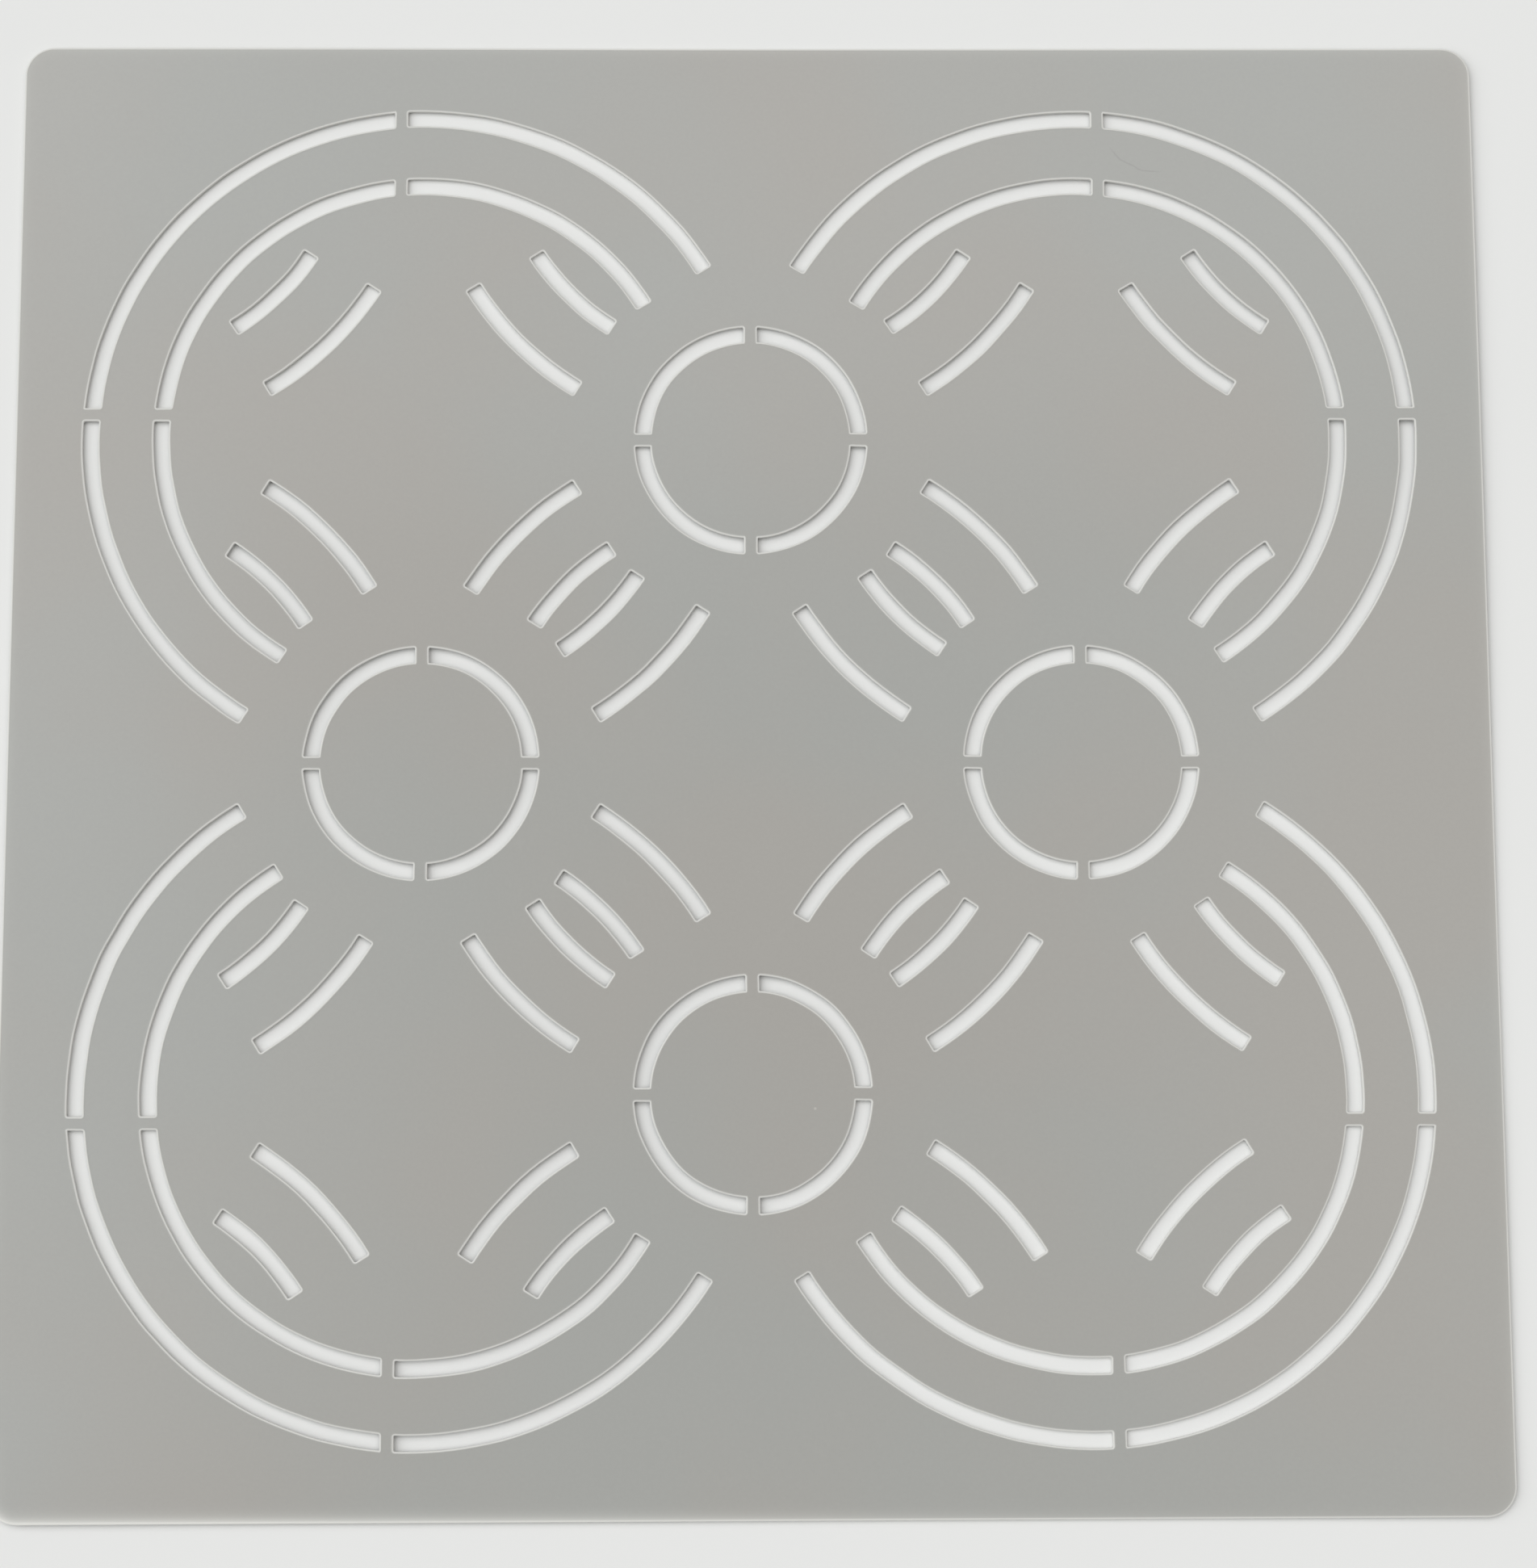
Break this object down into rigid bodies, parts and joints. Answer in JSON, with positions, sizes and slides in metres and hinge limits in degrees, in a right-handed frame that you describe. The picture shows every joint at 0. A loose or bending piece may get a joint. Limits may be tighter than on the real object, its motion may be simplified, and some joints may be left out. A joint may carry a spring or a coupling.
{
  "type": "drawing stencil",
  "caption": "Flat square plastic drawing stencil with rounded corners and curved pencil slots that trace interlaced double rings, petals and small circles.",
  "frame": {"origin": "middle of the sheet's underside, where it lies on the paper", "axes": "+Z out of the sheet's upper face, +X to the right and +Y to the top of the pattern, both along the sheet's edges"},
  "size_m": [0.15, 0.15, 0.0004],
  "materials": {
    "milky_plastic": "satin milky sheet plastic"
  },
  "bodies": {
    "root": {"stencil_sheet": "milky_plastic"}
  },
  "joints": []
}
